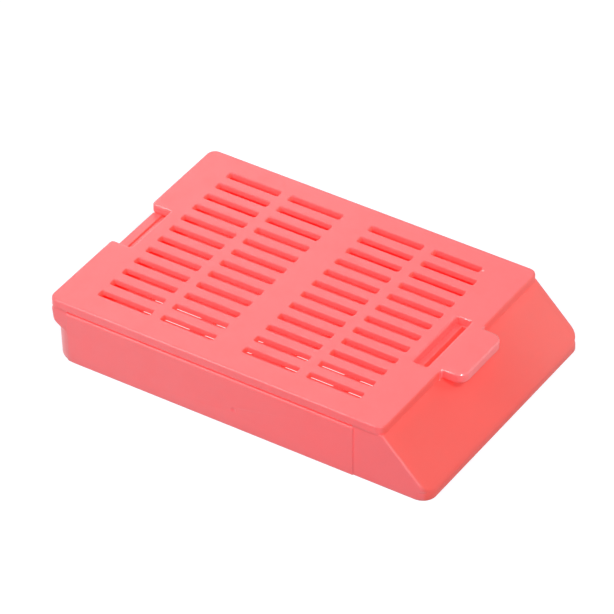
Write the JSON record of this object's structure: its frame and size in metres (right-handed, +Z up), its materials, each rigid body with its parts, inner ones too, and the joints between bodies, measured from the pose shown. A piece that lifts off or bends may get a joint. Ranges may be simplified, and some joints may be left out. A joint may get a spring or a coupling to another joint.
{
  "type": "tissue cassette",
  "caption": "Flat plastic cassette with a slotted tray, a sloping writing ramp, and a slotted lid that swings on a rear bar and latches in front.",
  "frame": {"origin": "middle of the footprint, on the surface the cassette stands on", "axes": "+Z up; -Y towards the writing ramp, +Y towards the hinge bar; X across the cassette"},
  "size_m": [0.028, 0.0416, 0.0068],
  "materials": {
    "acetal": "satin moulded acetal, coral pink, slightly translucent"
  },
  "bodies": {
    "base": {"base": "acetal"},
    "lid": {"lid": "acetal"}
  },
  "joints": [
    {"name": "lid_hinge", "type": "hinge", "parent": "base", "child": "lid", "pos_m": [0, 0.0203, 0.00538], "axis": [-1, 0, 0], "range_deg": [0, 100]}
  ]
}
